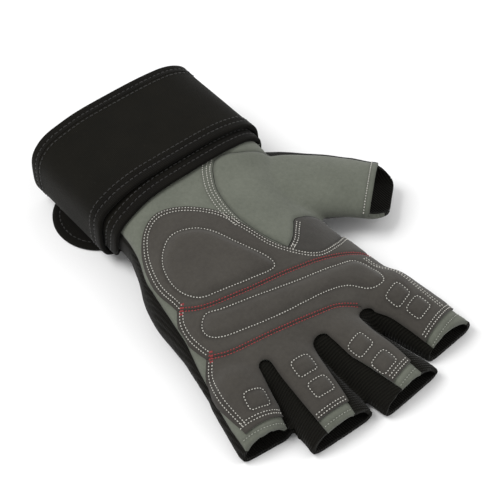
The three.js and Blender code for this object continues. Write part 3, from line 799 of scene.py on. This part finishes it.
def edge_distance(mesh, places):
    """Distance from each point of a sheet to its own edge."""
    uses = {}
    for polygon in mesh.polygons:
        for key in polygon.edge_keys:
            uses[key] = uses.get(key, 0) + 1
    rim = sorted({v for key, times in uses.items() if times == 1 for v in key})
    rim = places[rim]
    best = np.full(len(places), np.inf)
    for start in range(0, len(rim), 200):
        part = rim[start:start + 200]
        gaps = ((places[:, None, :] - part[None, :, :]) ** 2).sum(axis=2)
        best = np.minimum(best, gaps.min(axis=1))
    return np.sqrt(best)


def bell(distance, width):
    return np.exp(-((distance / width) ** 2))


GROOVE_WIDTH = 0.7
SEAM_SHADE = 0.55  # how much painted shade darkens the nap in a seam and under a row, and how far from it
SHADE_WIDTH = 1.0
ROW_SHADE = 0.5
ROW_SHADE_WIDTH = 0.9


def finished_panel(thing, name, wall, looks, base=0.0, roll=0.45, roll_width=1.3, groove=0.12,
                   rows=(), pads=()):
    """Gives a sheet its relief, wall, face and lining, and paints shade along its seams and under its
    rows. roll draws its edges into the seams.
    """
    skin(thing)
    mesh = thing.data
    places, normals = arrays(mesh)
    rim = edge_distance(mesh, places)
    rise = base - roll * bell(rim, roll_width)
    # Painted shade: the nap is darkened along the sheet's edges and under its stitch rows, where the
    # seams and grooves lie in shade.
    shade = SEAM_SHADE * bell(rim, SHADE_WIDTH)
    for outline, height, width in pads:
        depth = np.where(inside(places, outline), line_distance(places, closed_line(outline)), 0)
        rise = rise + height * (1 - bell(depth, width))
    for row in rows:
        gap = line_distance(places, row)
        rise = rise - groove * bell(gap, GROOVE_WIDTH)
        shade = np.maximum(shade, ROW_SHADE * bell(gap, ROW_SHADE_WIDTH))
    places = places + normals * rise[:, None]
    mesh.vertices.foreach_set("co", places.ravel())
    tone = mesh.attributes.new("shade", "FLOAT", "POINT")
    tone.data.foreach_set("value", shade)
    mesh.polygons.foreach_set("material_index", [0] * len(mesh.polygons))
    mesh.materials.clear()
    mesh.update()
    thing.name = name
    solid = thing.modifiers.new("wall", "SOLIDIFY")
    solid.thickness = wall
    solid.offset = -1
    solid.use_even_offset = False
    solid.use_quality_normals = True
    solid.material_offset = 1
    applied(thing)
    thing.data.materials.clear()
    for look in looks:
        thing.data.materials.append(look)
    return thing


# Materials. Their patterns use the objects' own coordinates, in metres.

def colour(red, green, blue):
    """A shader colour from 8-bit screen values."""
    def linear(value):
        share = value / 255
        return share / 12.92 if share <= 0.04045 else ((share + 0.055) / 1.055) ** 2.4
    return (linear(red), linear(green), linear(blue), 1)


class Material:
    """A node material with a few helpers, so that each recipe below reads in a few lines."""

    def __init__(self, name, roughness, sheen=0.0, sheen_roughness=0.5, specular=0.3):
        self.material = bpy.data.materials.new(name)
        self.material.use_nodes = True
        self.tree = self.material.node_tree
        self.shader = self.tree.nodes["Principled BSDF"]
        for socket, value in (("Roughness", roughness), ("Sheen Weight", sheen),
                              ("Sheen Roughness", sheen_roughness), ("Specular IOR Level", specular)):
            self.shader.inputs[socket].default_value = value
        self.place = self.node("ShaderNodeTexCoord").outputs["Object"]
        self.height = None

    def fill(self, sockets, values):
        """Links each value that is another node's output, and sets the others."""
        for socket, value in zip(sockets, values):
            if isinstance(value, bpy.types.NodeSocket):
                self.tree.links.new(value, socket)
            else:
                socket.default_value = value

    def node(self, kind, **inputs):
        made = self.tree.nodes.new(kind)
        self.fill([made.inputs[key.replace("_", " ")] for key in inputs], inputs.values())
        return made

    def noise(self, size_mm, detail=3.0, roughness=0.55):
        made = self.node("ShaderNodeTexNoise", Vector=self.place, Scale=1 / (size_mm * MM),
                         Detail=detail, Roughness=roughness)
        return made.outputs["Fac"]

    def ranged(self, value, low, high):
        made = self.node("ShaderNodeMapRange", Value=value, From_Min=low, From_Max=high)
        return made.outputs["Result"]

    def maths(self, operation, first, second):
        made = self.tree.nodes.new("ShaderNodeMath")
        made.operation = operation
        self.fill(made.inputs, (first, second))
        return made.outputs[0]

    def times(self, first, second):
        return self.maths("MULTIPLY", first, second)

    def blend(self, first, share, second):
        """The first value by its share and the second by the rest."""
        return self.maths("ADD", self.times(first, share), self.times(second, 1 - share))

    def mixed(self, factor, first, second):
        made = self.tree.nodes.new("ShaderNodeMix")
        made.data_type = "RGBA"
        self.fill((made.inputs[0], made.inputs[6], made.inputs[7]), (factor, first, second))
        return made.outputs[2]

    def attribute(self, name):
        made = self.tree.nodes.new("ShaderNodeAttribute")
        made.attribute_name = name
        return made.outputs["Fac"]

    def wave(self, size_mm, direction, place=None, distortion=0.0, turned=0.0):
        source = place or self.place
        if turned:
            mapping = self.node("ShaderNodeMapping", Vector=source,
                                Rotation=(0, 0, math.radians(turned)))
            source = mapping.outputs["Vector"]
        # The texture's own period is 2 pi / 20 of a unit at scale 1.
        made = self.node("ShaderNodeTexWave", Vector=source, Distortion=distortion,
                         Scale=2 * math.pi / 20 / (size_mm * MM), Detail_Scale=2.0)
        made.bands_direction = direction
        return made.outputs["Fac"]

    def bump(self, height, distance_mm, strength=1.0):
        made = self.node("ShaderNodeBump", Height=height, Distance=distance_mm * MM,
                         Strength=strength)
        if self.height:
            self.tree.links.new(self.height, made.inputs["Normal"])
        self.height = made.outputs["Normal"]
        self.tree.links.new(self.height, self.shader.inputs["Normal"])

    def paint(self, base):
        self.tree.links.new(base, self.shader.inputs["Base Color"])
        return self.material


def suede(name, light, dark, shaded):
    """Split leather with a short nap: cloudy tone, fine grain, and painted shade in its stitched seams.
    """
    look = Material(name, 0.92, sheen=0.15, sheen_roughness=0.55, specular=0.12)
    clouds = look.ranged(look.noise(22, 4, 0.6), 0.3, 0.7)
    flecks = look.ranged(look.noise(1.6, 4, 0.65), 0.3, 0.72)
    base = look.mixed(look.blend(clouds, 0.55, flecks), dark, light)
    # Painted shade: the nap turns towards the shaded colour in seams and under stitch rows.
    base = look.mixed(look.times(look.attribute("shade"), 0.75), base, shaded)
    look.bump(look.noise(6, 3, 0.5), 0.25, 0.5)
    look.bump(flecks, 0.10, 0.6)
    look.bump(look.noise(0.45, 3, 0.6), 0.10, 0.9)
    return look.paint(base)


def knitted(name, light, dark, rib_mm, turned):
    """Stretch fabric with fine raised ribs and a soft, slightly dusty face."""
    look = Material(name, 0.9, sheen=0.06, sheen_roughness=0.4, specular=0.12)
    ribs = look.wave(rib_mm, "X", turned=turned, distortion=0.6)
    loops = look.wave(rib_mm * 0.8, "Y", turned=turned, distortion=0.8)
    fluff = look.ranged(look.noise(0.9, 4, 0.7), 0.35, 0.75)
    look.bump(look.maths("ADD", ribs, look.times(loops, 0.35)), 0.35, 0.8)
    look.bump(fluff, 0.08, 0.7)
    return look.paint(look.mixed(look.blend(ribs, 0.5, fluff), dark, light))


def strap_cloth(name, light, dark, weave_mm):
    """A dense brushed fabric, woven along and across the strap, with stray pale fibres."""
    look = Material(name, 0.85, sheen=0.03, sheen_roughness=0.45, specular=0.12)
    flat = look.node("ShaderNodeUVMap").outputs["UV"]
    across = look.wave(weave_mm, "X", place=flat, distortion=0.5)
    along = look.wave(weave_mm, "Y", place=flat, distortion=0.5)
    weave = look.times(across, along)
    clouds = look.ranged(look.noise(14, 4, 0.6), 0.3, 0.7)
    lint = look.ranged(look.noise(0.5, 2, 0.5), 0.70, 0.80)
    base = look.mixed(look.blend(weave, 0.4, clouds), dark, light)
    base = look.mixed(look.times(lint, 0.16), base, colour(120, 116, 108))
    look.bump(look.noise(18, 3, 0.5), 1.0, 0.35)
    look.bump(weave, 0.14, 0.8)
    return look.paint(base)


def thread(name, light, dark):
    look = Material(name, 0.6, sheen=0.2, specular=0.4)
    twist = look.wave(0.35, "DIAGONAL", distortion=1.0)
    base = look.mixed(twist, dark, light)
    look.bump(twist, 0.08, 0.7)
    return look.paint(base)


# The third colour of each suede is the painted shade of its seams and stitch rows.
SUEDE_LIGHT = suede("suede_light", colour(104, 107, 97), colour(86, 89, 80), colour(46, 47, 42))
SUEDE_DARK = suede("suede_dark", colour(70, 67, 62), colour(56, 53, 49), colour(30, 28, 26))
SUEDE_GUSSET = suede("suede_gusset", colour(62, 60, 56), colour(50, 48, 45), colour(28, 27, 25))
STRETCH = knitted("stretch_black", colour(20, 19, 15), colour(9, 8, 5), 1.1, 0)
RIBS = {
    f"fourchette_{gap}": knitted(name, colour(21, 20, 15), colour(9, 8, 5), 1.2, turned)
    for gap, name, turned in (("ring_little", "ribbed_little", 80),
                              ("middle_ring", "ribbed_middle", 100),
                              ("index_middle", "ribbed_index", 105))
}
LINING = knitted("lining_black", colour(18, 17, 15), colour(8, 8, 7), 0.9, 20)
NEOPRENE = strap_cloth("neoprene_black", colour(17, 15, 9), colour(9, 8, 4), 0.7)
TAPE = strap_cloth("tape_black", colour(14, 12, 7), colour(6, 5, 3), 0.9)
WHITE_THREAD = thread("thread_white", colour(214, 212, 204), colour(150, 148, 140))
GREY_THREAD = thread("thread_grey", colour(176, 178, 168), colour(120, 122, 112))
RED_THREAD = thread("thread_red", colour(158, 46, 48), colour(96, 26, 29))
BLACK_THREAD = thread("thread_black", colour(26, 25, 22), colour(10, 9, 8))


# Panels and patches with their walls, in the order from the palm outwards.

PAD_SOFTNESS = 2.3
POCKET_SOFTNESS = 1.5
PATCH_THIN = 0.9  # suede without its foam, a little thinner than its solid
patch_pads = {
    "overlay_heel": [(heel_pad, PAD_RISE, PAD_SOFTNESS)],
    "overlay_bar": [(bar_pad, PAD_RISE, PAD_SOFTNESS)],
    "overlay_fingers": [],
}
for finger, line in pockets:
    patch = "overlay_bar" if finger == "index" else "overlay_fingers"
    patch_pads[patch].append((line, POCKET_RISE, POCKET_SOFTNESS))
panel_looks = {
    "palm_base": (SUEDE_LIGHT, "suede_light"),
    "thumb_palm": (SUEDE_LIGHT, "suede_light"),
    "thumb_web_gusset": (SUEDE_GUSSET, "suede_dark"),
    "back_panel": (STRETCH, "stretch_black"),
    "thumb_back": (STRETCH, "stretch_black"),
}
panel_looks.update((name, (look, "stretch_black")) for name, look in RIBS.items())
panel_looks.update((name, (SUEDE_DARK, "suede_dark")) for name in patches)
panel_rows = base_rows + hem_rows + white_rows[-2:] + [thumb_row]
finished = {}
for name, thing in panels.items():
    finished[name] = finished_panel(thing, f"{name}.cloth", SHELL_WALL, (panel_looks[name][0], LINING),
                                    rows=() if name == "back_panel" else panel_rows)
for name, thing in patches.items():
    finished[name] = finished_panel(
        thing, f"{name}.cloth", PATCH_THIN, (SUEDE_DARK, SUEDE_DARK), base=LAYER_GAP + PATCH_THIN,
        roll=0.3, roll_width=0.7, groove=0.3, rows=all_rows, pads=patch_pads[name])


# Stitches: small raised stitches laid along rows on the surface.

def grain(length, width, height, rounds=4, around=6):
    """A stitch at the origin along x: points and faces."""
    points, faces = [(-length / 2, 0, -height / 2)], []
    for i in range(1, rounds):
        angle = math.pi * i / rounds
        x = -length / 2 * math.cos(angle)
        radius = math.sin(angle) ** 0.7
        sink = -height * 0.5 * math.cos(angle) ** 2
        for k in range(around):
            turn = 2 * math.pi * k / around
            points.append((x, width / 2 * radius * math.cos(turn),
                           sink + height / 2 * radius * math.sin(turn)))
    points.append((length / 2, 0, -height / 2))
    for k in range(around):
        faces.append((0, 1 + (k + 1) % around, 1 + k))
    for i in range(rounds - 2):
        for k in range(around):
            a, b = 1 + i * around + k, 1 + i * around + (k + 1) % around
            faces.append((a, b, b + around, a + around))
    last = len(points) - 1
    for k in range(around):
        faces.append((last, last - around + k, last - around + (k + 1) % around))
    return np.array(points), faces


def surface_tree(things):
    bm = bmesh.new()
    for thing in things:
        bm.from_mesh(thing.data)
    tree = BVHTree.FromBMesh(bm)
    bm.free()
    return tree


def laid(tree, row):
    """A row in plan laid on the surface from above: places and normals."""
    places, normals = [], []
    for x, y in row:
        hit, normal, _, _ = tree.ray_cast(Vector((x, y, 100)), Vector((0, 0, -1)))
        if hit is not None:
            places.append(np.array(hit))
            normals.append(np.array(normal))
    return np.array(places), np.array(normals)


def spaced(places, normals, spacing):
    """The same path at equal steps."""
    gaps = np.linalg.norm(np.diff(places, axis=0), axis=1)
    length = np.concatenate([[0], np.cumsum(gaps)])
    count = max(2, int(length[-1] / spacing) + 1)
    at = np.linspace(0, length[-1], count)
    there = np.stack([np.interp(at, length, places[:, k]) for k in range(3)], axis=1)
    up = np.stack([np.interp(at, length, normals[:, k]) for k in range(3)], axis=1)
    return there, up / np.linalg.norm(up, axis=1, keepdims=True)


def stitched(name, paths, look, spacing=1.35, length=0.85, width=0.5, height=0.4, lift=0.1):
    """One object with a stitch at every step of each path of places and normals."""
    shape, shape_faces = grain(length, width, height)
    chance = np.random.default_rng(1)
    points, faces = [], []
    for places, normals in paths:
        if len(places) < 2:
            continue
        there, up = spaced(places, normals, spacing)
        along = np.gradient(there, axis=0)
        along /= np.linalg.norm(along, axis=1, keepdims=True)
        side = np.cross(up, along)
        side /= np.maximum(np.linalg.norm(side, axis=1, keepdims=True), 1e-9)
        up = np.cross(along, side)
        for p, t, s, n in zip(there, along, side, up):
            turn = chance.normal(0, 0.08)
            t, s = t * math.cos(turn) + s * math.sin(turn), s * math.cos(turn) - t * math.sin(turn)
            size = 1 + chance.normal(0, 0.06)
            start = len(points)
            points.extend(p + n * lift + size * (q[0] * t + q[1] * s + q[2] * n) for q in shape)
            faces.extend(tuple(start + k for k in face) for face in shape_faces)
    thing = mesh_object(name, points, faces)
    thing.data.materials.append(look)
    return thing


palm_tree = surface_tree([thing for name, thing in finished.items() if name != "back_panel"])
OUTER_STEP = 4.2  # the index finger's outer rows keep this far inside the patch's lower edge


def outer_row(thing, start, end, step):
    """A row inside the thumb-side edge of a patch, between two places along the hand."""
    places, _ = arrays(thing.data)
    row = []
    for along in np.linspace(start, end, 60):
        near = np.abs(places[:, 1] - hand_y(along)) < 0.9
        row.append((places[near, 0].max(), hand_y(along)))
    row = np.array(row)
    row[2:-2, 0] = sum(np.roll(row[:, 0], k) for k in (-2, -1, 0, 1, 2))[2:-2] / 5
    return row + np.array([-step, 0])


for step in PAIR:
    white_rows.append(outer_row(finished["overlay_bar"], 0.805, 1.2, step + OUTER_STEP))


def laid_rows(rows):
    return [laid(palm_tree, smooth_line(row, 4) if len(row) < 60 else row) for row in rows]


stitches = [
    stitched("stitches_white", laid_rows(white_rows + pad_rows + white_tacks), WHITE_THREAD),
    stitched("stitches_base", laid_rows(base_rows + [thumb_row]), WHITE_THREAD, lift=0.15),
    stitched("stitches_hem", laid_rows(hem_rows), GREY_THREAD, width=0.4),
    stitched("stitches_red", laid_rows(red_rows + tacks), RED_THREAD, length=1.0, width=0.6),
]


# Wrap: a strap with bound edges wound round the wrist, its cuff and its tab.

WRIST_OVAL = palm_oval(PALM_SECTIONS[0][0])
WRAP_STATION = 2  # degrees


def smoothstep(value, low, high):
    share = min(max((value - low) / (high - low), 0), 1)
    return share * share * (3 - 2 * share)


def wrap_place(turned):
    turn = math.floor(turned / 360)
    ramp = smoothstep(turned - turn * 360, 360 - WRAP_RAMP, 360)
    inner = LAYER_GAP + (WRAP_WALL + LAYER_GAP) * (turn + ramp)
    return math.radians(WRAP_START - turned), inner, row_at(WRAP_EDGES, turned / 360)[1]


def wrap_point(turned, distance, depth):
    """A point of the strap: distance from its hand-side edge and height over its inner face."""
    angle, inner, edge = wrap_place(turned)
    c, s = math.cos(angle), math.sin(angle)
    y = edge + distance
    sway = 0.35 * noise.noise(Vector((c * 1.6, s * 1.6, y / 22)))
    swell = 0.5 * noise.noise(Vector((c * 2.2 + 7, s * 2.2, y / 30)))
    x, z = oval_point(WRIST_OVAL, angle, inner + depth + sway * smoothstep(s, -0.6, 0.2))
    return x, y + swell, z


def ribbon(name, profile):
    """A strap along the wrap with the closed profile given, as (distance, depth) pairs."""
    turns = np.arange(0, WRAP_SWEEP + 0.1, WRAP_STATION)
    rings = [[wrap_point(turned, distance, depth) for distance, depth in profile] for turned in turns]
    thing = loft(name, rings)
    lengths = np.concatenate([[0], np.cumsum([
        math.dist(a[0], b[0]) for a, b in zip(rings[:-1], rings[1:])])])
    steps = len(profile)
    woven(thing, lambda i: (lengths[i // steps] * MM, profile[i % steps][0] * MM))
    return thing


def band_profile(start, end, low, high, steps=16):
    across = [start + (end - start) * i / steps for i in range(steps + 1)]
    return [(distance, low) for distance in across] + [(distance, high) for distance in across[::-1]]


def binding_profile(fold_at, inner_at):
    """Tape folded over an edge: thick and round at its fold, thin where it is sewn down."""
    wide = abs(inner_at - fold_at)
    out = math.copysign(1, fold_at - inner_at)
    round_wall = WRAP_WALL / 2
    points = []
    for share in np.linspace(0, 1, 11):
        angle = math.pi * (share - 0.5)
        points.append((fold_at - out * round_wall * (1 - math.cos(angle)),
                       round_wall + round_wall * math.sin(angle)))
    for share in (0.35, 0.5, 0.6, 0.66, 0.72, 0.85, 1):
        dent = 0.28 * math.exp(-((share - 0.66) / 0.07) ** 2)
        points.append((fold_at - out * wide * share, WRAP_WALL - 0.05 - dent))
    points.append((inner_at, WRAP_WALL - 0.6))
    points.append((inner_at, 0.5))
    points.append((fold_at - out * wide * 0.4, 0.0))
    return points


wrap_band = ribbon("wrap_band.cloth", band_profile(BINDING_WIDTH - 1, WRAP_HEIGHT - BINDING_WIDTH + 1,
                                                   0.25, WRAP_WALL - 0.3))
binding_hand = ribbon("wrap_binding_hand.cloth", binding_profile(0, BINDING_WIDTH))
binding_wrist = ribbon("wrap_binding_wrist.cloth",
                       binding_profile(WRAP_HEIGHT, WRAP_HEIGHT - BINDING_WIDTH))


def wrap_row(distance):
    """A row of stitches along the strap, with the strap's outward normals."""
    turns = np.arange(0, WRAP_SWEEP, WRAP_STATION)
    depth = WRAP_WALL - 0.3
    places = np.array([wrap_point(turned, distance, depth) for turned in turns])
    higher = np.array([wrap_point(turned, distance, depth + 1) for turned in turns])
    normals = higher - places
    return places, normals / np.linalg.norm(normals, axis=1, keepdims=True)


ROW_FROM_EDGE = BINDING_WIDTH * 0.66
SECOND_ROW = ROW_FROM_EDGE + 3.4
strap_rows = [wrap_row(distance) for distance in (
    ROW_FROM_EDGE, SECOND_ROW, WRAP_HEIGHT - ROW_FROM_EDGE, WRAP_HEIGHT - SECOND_ROW)]


def cuff():
    """The tube of fabric inside the wrap, open at both ends."""
    stations = np.linspace(BODY_END + 0.3, BODY_END + CUFF_LENGTH, 24)
    angles = turned_round(120)
    rings = []
    for y, offset in [(y, -0.1) for y in stations] + [(y, -CUFF_WALL) for y in stations[::-1]]:
        rings.append([(x, y, z) for x, z in (oval_point(WRIST_OVAL, a, offset) for a in angles)])
    thing = loft("cuff_band.cloth", rings, round_again=True)
    points = [point for ring in rings for point in ring]
    # Its cloth runs round it as round a tube of 40 mm radius at 20 mm over the floor.
    woven(thing, lambda i: (math.atan2(points[i][2] - 20, points[i][0]) * 40 * MM, points[i][1] * MM))
    return thing


def tab():
    """A flat tab with a round end and a bound edge, wide enough for a palm's grip."""
    angle, inner, edge = wrap_place(WRAP_SWEEP)
    start = oval_point(WRIST_OVAL, angle, inner + WRAP_WALL)[0] - 0.3
    middle = edge + WRAP_HEIGHT / 2
    radius = TAB_WIDTH / 2
    centre = radius - TAB_REACH
    outline = [(start + (centre - start) * share, middle + radius) for share in np.linspace(0, 1, 20)]
    outline += [(centre - radius * math.sin(a), middle + radius * math.cos(a))
                for a in np.linspace(0, math.pi, 60)[1:-1]]
    outline += [(centre + (start - centre) * share, middle - radius) for share in np.linspace(0, 1, 20)]
    outline = np.array(outline)
    rings = []
    for shrink, up in ((1.2, 0.05), (0.4, 0.15), (0, 0.7), (0, 1.3), (0.5, 2.0), (1.6, 2.25),
                       (3.0, 2.2), (3.6, 1.95), (4.2, 2.1), (7, 2.2), (14, 2.2), (20, 2.2)):
        ring = np.array(outline)
        ring[:, 1] = middle + (ring[:, 1] - middle) * (radius - shrink) / radius
        ring[:, 0] = np.minimum(start, centre + (ring[:, 0] - centre) * np.where(
            ring[:, 0] < centre, (radius - shrink) / radius, 1))
        rings.append([(x, y, up) for x, y in ring])
    thing = loft("wrap_tab.cloth", rings)
    woven(thing, lambda i: thing.data.vertices[i].co.xy * MM)
    row = beside(outline, 3.6)
    heights = np.full(len(row), 2.0)
    places = np.column_stack([row, heights])
    normals = np.tile([0.0, 0.0, 1.0], (len(row), 1))
    return thing, (places, normals)


cuff_band = cuff()
wrap_tab, tab_row = tab()
stitches.append(stitched("stitches_wrap", strap_rows + [tab_row], BLACK_THREAD, spacing=2.6,
                         length=2.0, width=0.55, height=0.45, lift=0.2))
for thing, look, slot in (
        (wrap_band, NEOPRENE, "neoprene_black"), (cuff_band, NEOPRENE, "neoprene_black"),
        (binding_hand, TAPE, "tape_black"), (binding_wrist, TAPE, "tape_black"),
        (wrap_tab, TAPE, "tape_black")):
    thing.data.materials.append(look)

shown = list(finished.values()) + stitches + [wrap_band, cuff_band, binding_hand, binding_wrist,
                                              wrap_tab]
for thing in shown:
    mesh = thing.data
    places, _ = arrays(mesh)
    mesh.vertices.foreach_set("co", (places * MM).ravel())
    mesh.update()
    mesh.shade_smooth()
    mesh.set_sharp_from_angle(angle=math.radians(50))
    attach(thing, "root")
for name, thing in finished.items():
    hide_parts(name)
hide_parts("wrap_band")
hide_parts("wrap_binding_hand")
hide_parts("wrap_binding_wrist")
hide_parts("wrap_tab")
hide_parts("cuff_band")


# Floor, light and camera.

floor = mesh_object("floor", [(-3, -3, 0), (3, -3, 0), (3, 3, 0), (-3, 3, 0)], [(0, 1, 2, 3)])
pale = Material("floor_pale", 0.9, specular=0.1)
pale.paint(pale.mixed(pale.noise(60, 2), (0.86, 0.86, 0.86, 1), (0.88, 0.88, 0.88, 1)))
floor.data.materials.append(pale.material)

world = bpy.data.worlds.new("studio")
bpy.context.scene.world = world
world.use_nodes = True
world.node_tree.nodes["Background"].inputs["Color"].default_value = (1, 1, 1, 1)
world.node_tree.nodes["Background"].inputs["Strength"].default_value = 0.66


def softbox(name, place, size, power):
    light = bpy.data.lights.new(name, "AREA")
    light.shape = "SQUARE"
    light.size = size
    light.energy = power
    thing = linked(name, light)
    thing.location = place
    thing.rotation_euler = (Vector((0, 0, 0.02)) - Vector(place)).to_track_quat("-Z", "Y").to_euler()


softbox("key", (-0.5, 0.35, 0.9), 0.5, 8.2)
softbox("fill", (0.6, -0.5, 0.7), 0.8, 2.5)

AZIMUTH = math.radians(-40)
ELEVATION = math.radians(50)
back = Vector((math.sin(AZIMUTH) * math.cos(ELEVATION), -math.cos(AZIMUTH) * math.cos(ELEVATION),
               math.sin(ELEVATION)))
camera = linked("camera", bpy.data.cameras.new("camera"))
camera.data.lens = 97.2
camera.data.sensor_width = 36
camera.data.clip_start = 0.01
camera.location = Vector((0, 0, 0.025)) + back * 0.6
camera.rotation_euler = (-back).to_track_quat("-Z", "Y").to_euler()
bpy.context.scene.camera = camera
bpy.context.scene.view_settings.view_transform = "Standard"
